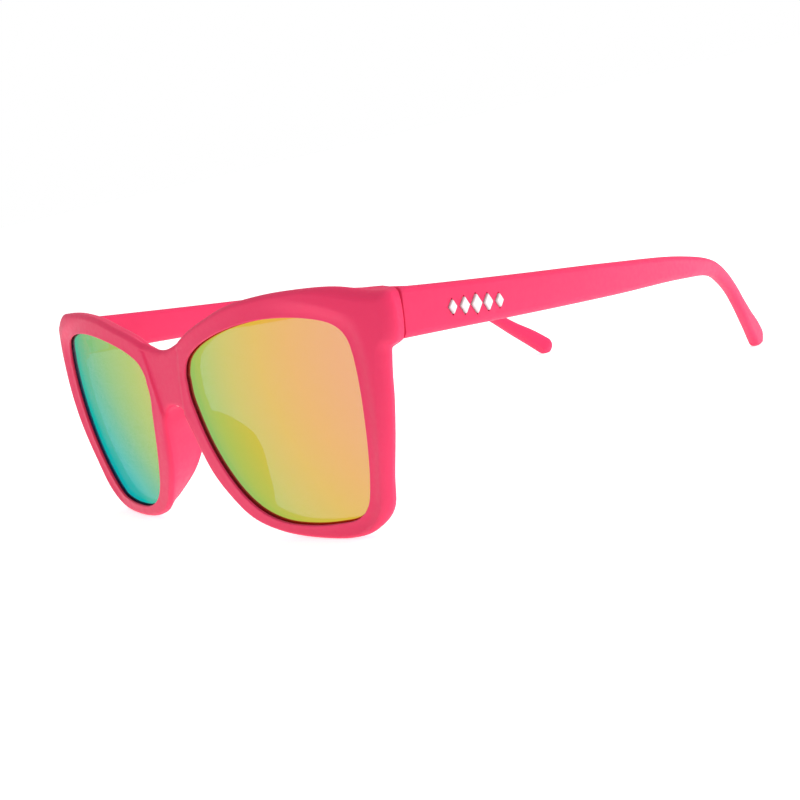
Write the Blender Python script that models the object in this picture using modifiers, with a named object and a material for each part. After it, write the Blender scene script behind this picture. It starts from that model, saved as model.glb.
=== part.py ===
"""Cat-eye sunglasses: moulded front, mirrored lenses, two folding temples on five-barrel hinges.

Run with: blender --background --python part.py

Design sizes are in millimetres and become metres when a mesh is made. The design frame has +X to the
wearer's left, +Y from the front towards the temple tips and +Z up along the front. Everything hangs
on one empty, "datum", which puts the origin on the flat face of the bridge and leans the whole
object until both rims and both temple tips stand on one level table.
"""

import math

import bmesh
import bpy
import numpy as np
from mathutils import Matrix, Vector

MM = 0.001

# The front: a bowed sheet, seen from the front as two openings joined by a bridge.
RIM_THICKNESS = 4.2
WALL_DEPTH = 3.8
BACK_RADIUS = 1.9
BOW_SLOPE = 0.1737
BOW_CURVE = 0.004825
BOW_HEIGHT_CURVE = 0.0045
BOW_FLAT_HALF = 7.0
NOSE_CROWN = 0.35
TEMPLE_CROWN = 1.45
CROWN_WIDTH = 4.5
LIP_DEPTH = 0.3
LIP_LAND = 0.3
OPEN_STEPS = 2

# The bridge face: a flat panel sunk between the two rims, wider at its top.
BRIDGE_FACE_Y = -0.25
BRIDGE_FACE_Z = 9.6
BRIDGE_FACE_TILT = math.radians(3.7)
PANEL_HALF_BOTTOM = 5.0
PANEL_HALF_TOP = 7.4
PANEL_EDGE = 0.25

# The lens groove inside each opening, and the lens that floats in it with a gap all round.
GROOVE_FRONT = 0.5
GROOVE_BACK = 2.6
GROOVE_REACH = 1.0
LENS_GAP = 0.3

# Nose pads: how deep the nasal wall reaches at each height, from its foot to its top.
PAD_PROFILE = (
    (-23.0, 3.8), (-21.0, 5.1), (-18.5, 7.1), (-15.0, 9.3), (-10.5, 11.3), (-6.0, 11.7),
    (-3.0, 11.1), (-1.0, 10.0), (0.6, 8.4), (2.0, 6.1), (3.2, 3.8),
)
PAD_SPLAY = 0.29
FOOT_SPLAY = 0.12
BRIDGE_TOP_SINK = 1.1
WALL_DRAFT = 0.05

# Anchors of the half front: opening x, opening z, outside x, outside z. They start under the bridge,
# run down the nose side, along the bottom, up the temple side and back along the brow. The last
# ones are the bridge itself, where the outside lies on the mirror plane.
ANCHORS = (
    (9.0, 3.2, 0.0, 3.6),
    (9.8, 0.0, 3.4, 2.6),
    (10.9, -3.6, 5.4, -1.5),
    (12.4, -7.4, 6.9, -6.5),
    (14.4, -11.3, 8.9, -11.6),
    (17.35, -15.7, 12.4, -16.4),
    (21.55, -19.35, 17.4, -21.25),
    (27.6, -21.7, 25.1, -24.05),
    (35.5, -22.4, 35.0, -25.35),
    (43.0, -22.1, 44.8, -25.4),
    (48.6, -21.1, 51.5, -23.85),
    (51.9, -18.45, 56.5, -20.1),
    (54.5, -13.0, 59.2, -13.3),
    (56.6, -5.6, 61.9, -5.6),
    (57.8, 1.6, 63.8, 1.8),
    (58.15, 6.0, 64.6, 6.8),
    (58.2, 8.3, 65.1, 9.8),
    (58.15, 9.9, 65.4, 11.3),
    (58.1, 11.0, 65.9, 12.0),
    (57.95, 12.2, 66.8, 12.5),
    (57.7, 13.6, 67.4, 14.0),
    (57.2, 15.0, 67.4, 19.2),
    (56.15, 16.5, 66.6, 21.6),
    (54.0, 18.0, 62.8, 22.55),
    (49.4, 19.4, 56.0, 24.45),
    (43.0, 20.3, 46.5, 25.15),
    (36.0, 20.45, 36.5, 24.95),
    (28.5, 19.7, 27.5, 23.95),
    (20.95, 18.13, 19.0, 21.7),
    (14.6, 16.0, 12.0, 19.5),
    (10.35, 13.45, 6.0, 17.1),
    (8.6, 10.45, 0.0, 15.9),
    (8.5, 9.7, 0.0, 15.77),
    (8.52, 9.0, 0.0, 15.4),
    (8.42, 8.1, 0.0, 14.9),
    (8.35, 6.8, 0.0, 9.8),
    (8.45, 5.4, 0.0, 4.6),
    (8.6, 4.6, 0.0, 4.1),
    (8.78, 3.9, 0.0, 3.73),
)
FIRST_ON_PLANE = 31
UNDER_BRIDGE_Z = ANCHORS[0][3]
OVER_BRIDGE_Z = ANCHORS[FIRST_ON_PLANE][3]

# The hinge: its pin is behind the seam and inside the temple's inner face. It is square to the
# temple in side view, and its top leans inwards a little, so that a folding tip sinks.
TEMPLE_DROP = math.radians(10.2)
HINGE_CANT = math.radians(4.0)
SEAM_Y = 13.6
HINGE_Z = 17.0
PIVOT_X = 61.3
PIVOT_BEHIND_SEAM = 1.9
SEAM_GAP = 0.25
SEAM_EDGE = 0.15
BARREL_RADIUS = 1.6
BORE_RADIUS = 0.8
SHANK_RADIUS = 0.7
KNUCKLES = 5
KNUCKLE_LENGTH = 1.4
KNUCKLE_GAP = 0.15
LEAF_THICKNESS = 0.8
LEAF_GAP = 0.3
FRONT_LEAF_X = (59.9, 62.8)
TEMPLE_LEAF_END = 7.4
ANCHOR_RADIUS = 0.8
ANCHOR_LENGTH = 1.6
ROUND_SEGMENTS = 24

# The temple: distance behind the seam, height of its centre line, its height and its thickness.
TEMPLE_STATIONS = (
    (0.0, 0.2, 9.6, 4.2),
    (11.0, 0.3, 8.95, 4.1),
    (31.0, 0.5, 8.1, 3.8),
    (61.0, 0.85, 6.95, 3.5),
    (91.0, 0.95, 5.25, 3.3),
    (108.6, -0.35, 3.85, 3.2),
    (116.0, -3.1, 3.5, 3.2),
    (121.8, -6.5, 3.25, 3.2),
    (126.8, -10.3, 3.35, 3.2),
    (131.6, -13.95, 3.95, 3.2),
    (136.4, -17.3, 4.85, 3.2),
    (140.0, -20.1, 5.2, 3.2),
)
TEMPLE_OUTER_X = 67.3
TEMPLE_TIP_INWARD = 26.6
TEMPLE_BOW = 36.0
TEMPLE_EDGE_RADIUS = 1.35
TEMPLE_STEPS = 2
TIP_STEPS = 5

# The accent on each temple: a row of lozenge pins, largest in the middle.
PIN_COUNT = 5
PIN_PITCH = 3.0
PIN_ROW_CENTRE = 17.6
PIN_HALF_WIDTH = 1.25
PIN_HALF_HEIGHT = 1.9
PIN_SHRINK = 0.13
PIN_SUNK = 1.3
PIN_PROUD = 0.45
PIN_GAP = 0.22

# The table plane: it levels the lowest part of both rims and both tips.
REST_LEAN = math.radians(1.8)
TABLE_Z = -34.92

PINK = (0.86, 0.07, 0.19)
LENS_GOLD = (0.78, 0.62, 0.18)
STEEL = (0.62, 0.62, 0.64)
WHITE = (0.9, 0.9, 0.9)


# ---------------------------------------------------------------- small helpers


def smooth_step(value, start, end):
    """0 before start, 1 after end, and a smooth rise between them."""
    share = np.clip((value - start) / (end - start), 0.0, 1.0)
    return share * share * (3.0 - 2.0 * share)


def fillet_drop(distance, radius):
    """How far a rounded edge falls below its face at this distance from the edge."""
    inside = radius - np.clip(distance, 0.0, radius)
    return radius - np.sqrt(radius * radius - inside * inside)


def catmull_point(points, share):
    """A point between the middle two of four, on the centripetal Catmull-Rom curve."""
    knots = [0.0]
    for first, second in zip(points[:-1], points[1:]):
        knots.append(knots[-1] + math.sqrt(np.linalg.norm(second - first)))
    at = knots[1] + share * (knots[2] - knots[1])

    def mix(left, right, knot_left, knot_right):
        return ((knot_right - at) * left + (at - knot_left) * right) / (knot_right - knot_left)

    first = mix(points[0], points[1], knots[0], knots[1])
    second = mix(points[1], points[2], knots[1], knots[2])
    third = mix(points[2], points[3], knots[2], knots[3])
    lower = mix(first, second, knots[0], knots[2])
    upper = mix(second, third, knots[1], knots[3])
    return mix(lower, upper, knots[1], knots[2])


def curve_through(points, steps):
    """An open curve through the points, with this many steps between each pair."""
    points = np.asarray(points, float)
    before = 2 * points[0] - points[1]
    after = 2 * points[-1] - points[-2]
    padded = np.vstack([before, points, after])
    out = []
    for span in range(len(points) - 1):
        four = padded[span:span + 4]
        out += [catmull_point(four, step / steps) for step in range(steps)]
    out.append(points[-1])
    return np.array(out)


def make_material(name, colour, roughness, metallic=0.0):
    material = bpy.data.materials.new(name)
    material.use_nodes = True
    shader = material.node_tree.nodes["Principled BSDF"]
    shader.inputs["Base Color"].default_value = (*colour, 1.0)
    shader.inputs["Roughness"].default_value = roughness
    shader.inputs["Metallic"].default_value = metallic
    return material


def add_object(name, mesh, material, parent, collection):
    """A new object in the collection, placed by its parent, smooth except at its real edges."""
    obj = bpy.data.objects.new(name, mesh)
    collection.objects.link(obj)
    obj.parent = parent
    if material:
        mesh.materials.clear()
        mesh.materials.append(material)
    return obj


def mesh_of(name, bm):
    """Turns a bmesh in millimetres into a mesh in metres."""
    bmesh.ops.scale(bm, vec=(MM, MM, MM), verts=bm.verts)
    mesh = bpy.data.meshes.new(name)
    bm.to_mesh(mesh)
    bm.free()
    mesh.shade_smooth()
    mesh.set_sharp_from_angle(angle=math.radians(40))
    return mesh


def box_bmesh(low, high):
    """A box between two corners, in millimetres."""
    bm = bmesh.new()
    bmesh.ops.create_cube(bm, size=1.0)
    low, high = Vector(low), Vector(high)
    size = high - low
    bmesh.ops.scale(bm, vec=size, verts=bm.verts)
    bmesh.ops.translate(bm, vec=(low + high) / 2, verts=bm.verts)
    return bm


def cylinder_bmesh(radius, low, high, centre=(0.0, 0.0), axis="Z", segments=ROUND_SEGMENTS):
    """A closed cylinder from low to high along one axis, in millimetres."""
    bm = bmesh.new()
    bmesh.ops.create_cone(
        bm, cap_ends=True, segments=segments, radius1=radius, radius2=radius, depth=high - low
    )
    bmesh.ops.translate(bm, vec=(0, 0, (low + high) / 2), verts=bm.verts)
    if axis == "X":
        turn = Matrix.Rotation(math.pi / 2, 3, "Y")
        shift = (0.0, centre[0], centre[1])
    elif axis == "Y":
        turn = Matrix.Rotation(-math.pi / 2, 3, "X")
        shift = (centre[0], 0.0, centre[1])
    else:
        turn = Matrix.Identity(3)
        shift = (centre[0], centre[1], 0.0)
    bmesh.ops.rotate(bm, matrix=turn, cent=(0, 0, 0), verts=bm.verts)
    bmesh.ops.translate(bm, vec=shift, verts=bm.verts)
    return bm


def boolean(obj, other, operation, name):
    modifier = obj.modifiers.new(name, "BOOLEAN")
    modifier.operation = operation
    modifier.object = other
    modifier.solver = "EXACT"


def freeze(obj):
    """Replaces the object's mesh by what its modifiers make of it."""
    bpy.context.view_layer.update()
    graph = bpy.context.evaluated_depsgraph_get()
    mesh = bpy.data.meshes.new_from_object(obj.evaluated_get(graph))
    mesh.name = obj.name
    obj.modifiers.clear()
    obj.data = mesh


# ---------------------------------------------------------------- the front


def lens_surface(x, z):
    """Y of the bowed sheet that carries a lens: each half bows round its own eye."""
    across = np.maximum(np.abs(x), BOW_FLAT_HALF)
    return BOW_CURVE * across * across - BOW_SLOPE * across + BOW_HEIGHT_CURVE * z * z


def panel_half_width(z):
    """Half the width of the bridge panel at this height."""
    share = (z - UNDER_BRIDGE_Z) / (OVER_BRIDGE_Z - UNDER_BRIDGE_Z)
    return PANEL_HALF_BOTTOM + share * (PANEL_HALF_TOP - PANEL_HALF_BOTTOM)


def front_face(x, z, from_opening):
    """Y of the front face: the rim stands proud of the lens sheet, and the bridge panel is sunk flat."""
    crown = NOSE_CROWN + (TEMPLE_CROWN - NOSE_CROWN) * smooth_step(x, 38.0, 56.0)
    rim = lens_surface(x, z) - crown * smooth_step(from_opening, 0.3, CROWN_WIDTH)
    panel = BRIDGE_FACE_Y + (z - BRIDGE_FACE_Z) * math.tan(BRIDGE_FACE_TILT)
    in_panel = smooth_step(panel_half_width(z) - np.abs(x), -PANEL_EDGE, PANEL_EDGE)
    return rim + in_panel * (panel - rim)


def seam_plane(z):
    """Y of the plane where each temple closes against the front."""
    return SEAM_Y + (z - HINGE_Z) * math.tan(TEMPLE_DROP)


def end_piece_share(x, z):
    """1 where the back of the front is the flat seam face, 0 on the plain rim."""
    above_hinge = np.maximum(z - 21.0, 0.0)
    start = 57.8 + 0.3 * above_hinge
    return smooth_step(x, start, start + 1.4 + 2.5 * above_hinge) * smooth_step(z, 11.5, 12.1)


def half_outlines(steps):
    """Matching points of the opening and of the outside, and which stations lie on the mirror plane."""
    anchors = np.array(ANCHORS)
    opening, outside = anchors[:, :2], anchors[:, 2:]
    count = len(anchors)
    across = outside[[1, FIRST_ON_PLANE - 1]] * (-1, 1)
    rim = np.vstack([across[:1], outside[:FIRST_ON_PLANE + 1], across[1:]])
    inner, outer, on_plane = [], [], []
    for span in range(count):
        bridge = span >= FIRST_ON_PLANE
        four = opening[[(span + k) % count for k in (-1, 0, 1, 2)]]
        span_steps = max(steps // 2, 1) if bridge else steps
        for step in range(span_steps):
            share = step / span_steps
            inner.append(catmull_point(four, share))
            if bridge:
                start, end = outside[span], outside[(span + 1) % count]
                outer.append(start + share * (end - start))
            else:
                outer.append(catmull_point(rim[span:span + 4], share))
            on_plane.append(bridge or span + step == 0)
    return np.array(inner), np.array(outer), np.array(on_plane)


def outline_normals(points):
    """Unit normals that point out of a closed outline which runs clockwise round its opening."""
    along = np.roll(points, -1, axis=0) - np.roll(points, 1, axis=0)
    normals = np.stack([along[:, 1], -along[:, 0]], axis=1)
    return normals / np.linalg.norm(normals, axis=1)[:, None]


def distance_to(points, contour):
    """Shortest distance from each point to a polyline."""
    start, end = contour[:-1], contour[1:]
    along = end - start
    length2 = np.maximum((along ** 2).sum(1), 1e-12)
    to_point = points[:, None, :] - start[None]
    share = np.clip((to_point * along).sum(2) / length2, 0, 1)
    nearest = start + share[..., None] * along
    return np.linalg.norm(points[:, None, :] - nearest, axis=2).min(1)


def whole_contour(half):
    """The half outline from under the bridge to its top, with its mirror image, as one polyline."""
    return np.vstack([half, half[::-1] * (-1, 1), half[:1]])


def panel_edge_places(inner, outer, width, edge_radius):
    """How far from the opening each station meets the side edge of the bridge panel."""
    slope = (PANEL_HALF_TOP - PANEL_HALF_BOTTOM) / (OVER_BRIDGE_Z - UNDER_BRIDGE_Z)
    run = outer - inner
    share = (panel_half_width(inner[:, 1]) - inner[:, 0]) / (run[:, 0] - slope * run[:, 1])
    in_bridge = (outer[:, 0] < panel_half_width(outer[:, 1])) & (outer[:, 1] > 1.5)
    share = np.where(in_bridge, share, 0.55)
    furthest = width - edge_radius - 2 * PANEL_EDGE
    return np.minimum(share * width, furthest), in_bridge


def front_rows(steps):
    """The half front as an array of stations by rows by three: every row is one line round the rim."""
    inner, outer, on_plane = half_outlines(steps)
    normals = outline_normals(inner)
    last_free = FIRST_ON_PLANE * steps
    count = len(inner)
    edge_radius = 1.0 + 0.9 * smooth_step(outer[:, 0], 50.0, 60.0)
    nose_side = (outer[:, 0] < 24.0) & (outer[:, 1] < 3.2)
    profile = curve_through(PAD_PROFILE, 6)
    pad_depth = np.interp(outer[:, 1], profile[:, 0], profile[:, 1])
    wall_depth = np.where(nose_side, pad_depth, WALL_DEPTH)
    splay = WALL_DRAFT + (PAD_SPLAY - WALL_DRAFT) * smooth_step(-outer[:, 1], -1.0, 5.0) * (
        1.0 - smooth_step(outer[:, 0], 20.0, 36.0)
    )
    splay += FOOT_SPLAY * smooth_step(-outer[:, 1], 14.0, 20.0) * (
        1.0 - smooth_step(outer[:, 0], 24.0, 38.0)
    )
    splay = np.where(on_plane, 0.0, splay)
    sink = BRIDGE_TOP_SINK * smooth_step(outer[:, 1], 8.0, 14.0) * (
        1.0 - smooth_step(outer[:, 0], 3.0, 14.0)
    )
    back_radius = BACK_RADIUS - (BACK_RADIUS - SEAM_EDGE) * end_piece_share(outer[:, 0], outer[:, 1])
    width = np.linalg.norm(outer - inner, axis=1)
    outward = (outer - inner) / width[:, None]
    back_outer = outer - outward * (splay * wall_depth)[:, None]
    back_outer[:, 1] -= sink
    back_width = np.linalg.norm(back_outer - inner, axis=1)
    back_radius = np.minimum(back_radius, 0.7 * (back_width - LIP_LAND))
    front_line = whole_contour(outer[:last_free + 1])
    back_line = whole_contour(back_outer[:last_free + 1])

    def at(plan, from_opening, depth):
        y = front_face(plan[:, 0], plan[:, 1], from_opening) + depth
        return np.column_stack([plan[:, 0], y, plan[:, 1]])

    def in_groove(plan, depth):
        y = lens_surface(plan[:, 0], plan[:, 1]) + depth
        return np.column_stack([plan[:, 0], y, plan[:, 1]])

    edge_place, in_bridge = panel_edge_places(inner, outer, width, edge_radius)
    spread = np.where(in_bridge, PANEL_EDGE, 0.16 * width)
    face_end = width - edge_radius
    places = [
        np.full(count, LIP_LAND),
        (LIP_LAND + edge_place - spread) / 2,
        edge_place - spread,
        edge_place,
        np.minimum(edge_place + spread, face_end - 0.1),
        (np.minimum(edge_place + spread, face_end - 0.1) + face_end) / 2,
        face_end,
    ]
    places += [width - edge_radius * (1 - math.sin(math.radians(turn))) for turn in (30, 60, 90)]
    rows = [in_groove(inner, LIP_DEPTH), in_groove(inner + outward * (0.3 * LIP_LAND), 0.3 * LIP_DEPTH)]
    for place in places:
        plan = inner + outward * place[:, None]
        rows.append(at(plan, place, fillet_drop(distance_to(plan, front_line), edge_radius)))
    wall_start = len(rows) - 1

    inward = (inner - back_outer) / back_width[:, None]
    back_span = back_width - back_radius - LIP_LAND
    back_places = [back_radius * (1 - math.cos(math.radians(turn))) for turn in (0, 30, 60)]
    back_places += [back_radius + back_span * share for share in (0.0, 0.25, 0.5, 0.75, 1.0)]
    back_rows = []
    for place in back_places:
        plan = back_outer + inward * place[:, None]
        fall = smooth_step(place, back_radius, back_width - LIP_LAND)
        depth = wall_depth + (RIM_THICKNESS - wall_depth) * fall
        drop = fillet_drop(distance_to(plan, back_line), back_radius)
        row = at(plan, back_width - place, depth - drop)
        sheet = in_groove(plan, RIM_THICKNESS - drop)
        row[:, 1] += smooth_step(place, back_radius, back_width) * (sheet[:, 1] - row[:, 1])
        flat = end_piece_share(plan[:, 0], plan[:, 1])
        row[:, 1] += flat * (seam_plane(plan[:, 1]) - drop - row[:, 1])
        back_rows.append(row)
    rows.append((rows[wall_start] + back_rows[0]) / 2)
    rows += back_rows
    wall_end = wall_start + 2
    rows.append(in_groove(inner + outward * (0.3 * LIP_LAND), RIM_THICKNESS - 0.3 * LIP_DEPTH))
    rows.append(in_groove(inner, RIM_THICKNESS - LIP_DEPTH))
    groove = inner + normals * GROOVE_REACH
    rows.append(in_groove(inner, GROOVE_BACK))
    rows.append(in_groove(groove, GROOVE_BACK))
    rows.append(in_groove(groove, GROOVE_FRONT))
    rows.append(in_groove(inner, GROOVE_FRONT))
    return np.stack(rows, axis=1), on_plane, (wall_start, wall_end)


def front_frame_mesh(steps):
    """One half of the front, open at the mirror plane, as quads between neighbouring rows."""
    grid, on_plane, (wall_start, wall_end) = front_rows(steps)
    stations, rows = grid.shape[:2]
    bm = bmesh.new()
    verts = [[bm.verts.new(grid[i, j]) for j in range(rows)] for i in range(stations)]
    for i in range(stations):
        after = (i + 1) % stations
        both_on_plane = on_plane[i] and on_plane[after]
        for j in range(rows):
            below = (j + 1) % rows
            if both_on_plane and wall_start <= j < wall_end:
                continue
            bm.faces.new((verts[i][j], verts[i][below], verts[after][below], verts[after][j]))
    for vert in bm.verts:
        if abs(vert.co.x) < 1e-6:
            vert.co.x = 0.0
    loose = [v for v in bm.verts if not v.link_faces]
    bmesh.ops.delete(bm, geom=loose, context="VERTS")
    return mesh_of("front_frame", bm)


def make_front(material, parent, collection):
    obj = add_object("front_frame", front_frame_mesh(OPEN_STEPS), material, parent, collection)
    mirror = obj.modifiers.new("other_half", "MIRROR")
    mirror.use_axis = (True, False, False)
    mirror.use_mirror_merge = True
    mirror.merge_threshold = 0.00005
    return obj


# ---------------------------------------------------------------- the lenses


def lens_mesh(name, side, steps):
    """A bowed disc: rings from the edge in the groove to the middle, on both faces."""
    inner, _, _ = half_outlines(steps)
    edge = inner + outline_normals(inner) * (GROOVE_REACH - LENS_GAP)
    middle = edge.mean(0)
    shares = (1.0, 0.9, 0.72, 0.5, 0.26)
    front_depth = GROOVE_FRONT + LENS_GAP
    back_depth = GROOVE_BACK - LENS_GAP
    bm = bmesh.new()

    def ring(share, depth):
        plan = middle + share * (edge - middle)
        y = lens_surface(plan[:, 0], plan[:, 1]) + depth
        return [bm.verts.new((side * p[0], q, p[1])) for p, q in zip(plan, y)]

    rings = [ring(share, front_depth) for share in reversed(shares)]
    rings += [ring(share, back_depth) for share in shares]
    centre_y = float(lens_surface(middle[0], middle[1]))
    tips = [
        bm.verts.new((side * middle[0], centre_y + depth, middle[1]))
        for depth in (front_depth, back_depth)
    ]
    count = len(edge)
    for i in range(count):
        after = (i + 1) % count
        for near, far in zip(rings[:-1], rings[1:]):
            bm.faces.new((near[i], near[after], far[after], far[i]))
        bm.faces.new((tips[0], rings[0][after], rings[0][i]))
        bm.faces.new((tips[1], rings[-1][i], rings[-1][after]))
    bmesh.ops.recalc_face_normals(bm, faces=bm.faces)
    return mesh_of(name, bm)


# ---------------------------------------------------------------- the temples


def temple_outer_x(behind):
    """X of the temple's outer face, this far behind the seam: it bows, then closes in to the tip."""
    share = behind / TEMPLE_STATIONS[-1][0]
    return TEMPLE_OUTER_X - TEMPLE_TIP_INWARD * share + TEMPLE_BOW * share * (1 - share)


def temple_sections(steps):
    """Section after section along the temple: centre, its up direction, height and thickness."""
    table = curve_through(TEMPLE_STATIONS, steps)
    path = table[:, :2]
    along = np.gradient(path, axis=0)
    along /= np.linalg.norm(along, axis=1)[:, None]
    along[0] = (1.0, 0.0)
    sections = [
        (p, (-d[1], d[0]), h, t) for p, d, h, t in zip(path, along, table[:, 2], table[:, 3])
    ]
    end, direction, height, thickness = path[-1], along[-1], table[-1, 2], table[-1, 3]
    for step in range(1, TIP_STEPS):
        turn = math.pi / 2 * step / TIP_STEPS
        centre = end + direction * (0.5 * height * math.sin(turn))
        shrink = math.cos(turn)
        up = (-direction[1], direction[0])
        sections.append((centre, up, height * shrink, thickness * (0.45 + 0.55 * shrink)))
    return sections


def section_outline(height, thickness):
    """A rounded rectangle, as (across, up) pairs."""
    radius = min(TEMPLE_EDGE_RADIUS, 0.45 * height, 0.45 * thickness)
    points = []
    for corner in range(4):
        sign_x = (1, -1, -1, 1)[corner]
        sign_y = (1, 1, -1, -1)[corner]
        for step in range(4):
            turn = math.pi / 2 * (corner + step / 3)
            x = sign_x * (thickness / 2 - radius) + radius * math.cos(turn)
            y = sign_y * (height / 2 - radius) + radius * math.sin(turn)
            points.append((x, y))
    return points


def temple_mesh(name):
    """A loft through the sections, in the temple's own frame: y = 0 and x = 0 on the pin."""
    bm = bmesh.new()
    rings = []
    for number, (centre, up, height, thickness) in enumerate(temple_sections(TEMPLE_STEPS)):
        behind = max(centre[0], 0.0)
        middle_x = temple_outer_x(behind) - thickness / 2 - PIVOT_X
        start = SEAM_GAP if number == 0 else 0.0
        ring = []
        for across, rise in section_outline(height, thickness):
            y = centre[0] + up[0] * rise - PIVOT_BEHIND_SEAM + start
            z = centre[1] + up[1] * rise
            ring.append(bm.verts.new((middle_x + across, y, z)))
        rings.append(ring)
    count = len(rings[0])
    for near, far in zip(rings[:-1], rings[1:]):
        for i in range(count):
            after = (i + 1) % count
            bm.faces.new((near[i], near[after], far[after], far[i]))
    bm.faces.new(rings[0])
    bm.faces.new(rings[-1])
    bmesh.ops.recalc_face_normals(bm, faces=bm.faces)
    return mesh_of(name, bm)


def pin_places():
    """Distance behind the seam and size share of each lozenge pin."""
    middle = (PIN_COUNT - 1) / 2
    for number in range(PIN_COUNT):
        step = number - middle
        yield PIN_ROW_CENTRE + step * PIN_PITCH, 1.0 - PIN_SHRINK * abs(step)


def pin_bmesh(behind, share, grow, low, high):
    """A lozenge prism that stands square to the temple's outer face, from low to high."""
    bm = bmesh.new()
    bmesh.ops.create_cone(bm, cap_ends=True, segments=4, radius1=1, radius2=1, depth=high - low)
    half_width = PIN_HALF_WIDTH * share + grow
    half_height = PIN_HALF_HEIGHT * share + grow * PIN_HALF_HEIGHT / PIN_HALF_WIDTH
    bmesh.ops.scale(bm, vec=(half_height, half_width, 1), verts=bm.verts)
    bmesh.ops.translate(bm, vec=(0, 0, (low + high) / 2), verts=bm.verts)
    slope = (temple_outer_x(behind + 1) - temple_outer_x(behind - 1)) / 2
    out_of_face = Matrix.Rotation(math.pi / 2, 3, "Y")
    lean = Matrix.Rotation(-math.atan(slope), 3, "Z")
    bmesh.ops.rotate(bm, matrix=lean @ out_of_face, cent=(0, 0, 0), verts=bm.verts)
    place = (temple_outer_x(behind) - PIVOT_X, behind - PIVOT_BEHIND_SEAM, 0.0)
    bmesh.ops.translate(bm, vec=place, verts=bm.verts)
    return bm


# ---------------------------------------------------------------- the hinges


def knuckle_spans():
    """Low and high end of each knuckle along the pin, from the bottom one up."""
    pitch = KNUCKLE_LENGTH + KNUCKLE_GAP
    bottom = -(KNUCKLES * KNUCKLE_LENGTH + (KNUCKLES - 1) * KNUCKLE_GAP) / 2
    return [(bottom + i * pitch, bottom + i * pitch + KNUCKLE_LENGTH) for i in range(KNUCKLES)]


def hinge_half_height():
    return knuckle_spans()[-1][1]


def leaf_from(name, plate, webs, barrels, anchor, material, parent, collection, helpers):
    """One hinge leaf: plate, webs, barrels and anchor joined into one solid, then bored."""
    obj = add_object(name, mesh_of(name, plate), material, parent, collection)
    for number, piece in enumerate(webs + barrels + [anchor]):
        helper = add_object(f"{name}_piece_{number}", mesh_of(name, piece), None, parent, helpers)
        boolean(obj, helper, "UNION", f"join_{number}")
    reach = hinge_half_height() + 1
    bore = cylinder_bmesh(BORE_RADIUS, -reach, reach)
    helper = add_object(f"{name}_bore", mesh_of(name, bore), None, parent, helpers)
    boolean(obj, helper, "DIFFERENCE", "bore")
    return obj


def front_leaf(material, parent, collection, helpers):
    """The leaf in the front's back face, with the odd knuckles."""
    half = hinge_half_height()
    low_x, high_x = (x - PIVOT_X for x in FRONT_LEAF_X)
    top = -PIVOT_BEHIND_SEAM - 0.1
    plate = box_bmesh((low_x, top - LEAF_THICKNESS, -half), (high_x, top, half))
    spans = knuckle_spans()[0::2]
    webs = [box_bmesh((low_x + 0.1, top - 0.2, a), (BARREL_RADIUS - 0.5, 0, b)) for a, b in spans]
    barrels = [cylinder_bmesh(BARREL_RADIUS, a, b) for a, b in spans]
    anchor_x = (low_x + high_x) / 2
    base = top - LEAF_THICKNESS
    anchor = cylinder_bmesh(ANCHOR_RADIUS, base - ANCHOR_LENGTH, base + 0.2, (anchor_x, 0.0), "Y", 16)
    return leaf_from("front_leaf_left", plate, webs, barrels, anchor, material, parent, collection, helpers)


def temple_leaf(material, parent, collection, helpers):
    """The leaf in the temple's inner face, with the even knuckles."""
    half = hinge_half_height()
    inner = temple_outer_x(0.0) - TEMPLE_STATIONS[0][3] - PIVOT_X
    low_x, high_x = inner - 0.6, inner + 0.2
    start = BARREL_RADIUS + 0.25
    end = TEMPLE_LEAF_END - PIVOT_BEHIND_SEAM
    plate = box_bmesh((low_x, start, -half), (high_x, end, half))
    spans = knuckle_spans()[1::2]
    webs = [box_bmesh((0.2, 0.3, a), (high_x - 0.1, start + 0.6, b)) for a, b in spans]
    barrels = [cylinder_bmesh(BARREL_RADIUS, a, b) for a, b in spans]
    middle = (start + end) / 2 + 0.8
    anchor = cylinder_bmesh(
        ANCHOR_RADIUS, high_x - 0.2, high_x + ANCHOR_LENGTH, (middle, 0.0), "X", 16
    )
    return leaf_from("temple_leaf_left", plate, webs, barrels, anchor, material, parent, collection, helpers)


def screw(material, parent, collection, helpers):
    """The hinge pin: a slotted pan-head screw through all the knuckles."""
    half = hinge_half_height()
    head_low, head_high = half + 0.1, half + 0.85
    head = cylinder_bmesh(1.2, head_low, head_high)
    obj = add_object("hinge_screw_left", mesh_of("hinge_screw_left", head), material, parent, collection)
    shank = add_object(
        "screw_shank", mesh_of("screw_shank", cylinder_bmesh(SHANK_RADIUS, -half, head_low + 0.2)),
        None, parent, helpers,
    )
    slot = add_object(
        "screw_slot", mesh_of("screw_slot", box_bmesh((-2, -0.18, head_high - 0.3), (2, 0.18, head_high + 1))),
        None, parent, helpers,
    )
    boolean(obj, shank, "UNION", "shank")
    boolean(obj, slot, "DIFFERENCE", "slot")
    return obj


# ---------------------------------------------------------------- assembly


def mirrored(obj, name, parent, collection):
    """The wearer's right piece: the left one's finished mesh, turned over the symmetry plane."""
    mesh = obj.data.copy()
    mesh.name = name
    mesh.transform(Matrix.Diagonal((-1, 1, 1, 1)))
    mesh.flip_normals()
    return add_object(name, mesh, None, parent, collection)


def empty_at(name, location, parent=None, turn=(0.0, 0.0, 0.0)):
    obj = bpy.data.objects.new(name, None)
    bpy.context.scene.collection.objects.link(obj)
    obj.location = Vector(location) * MM
    obj.rotation_euler = turn
    obj.parent = parent
    return obj


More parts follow.
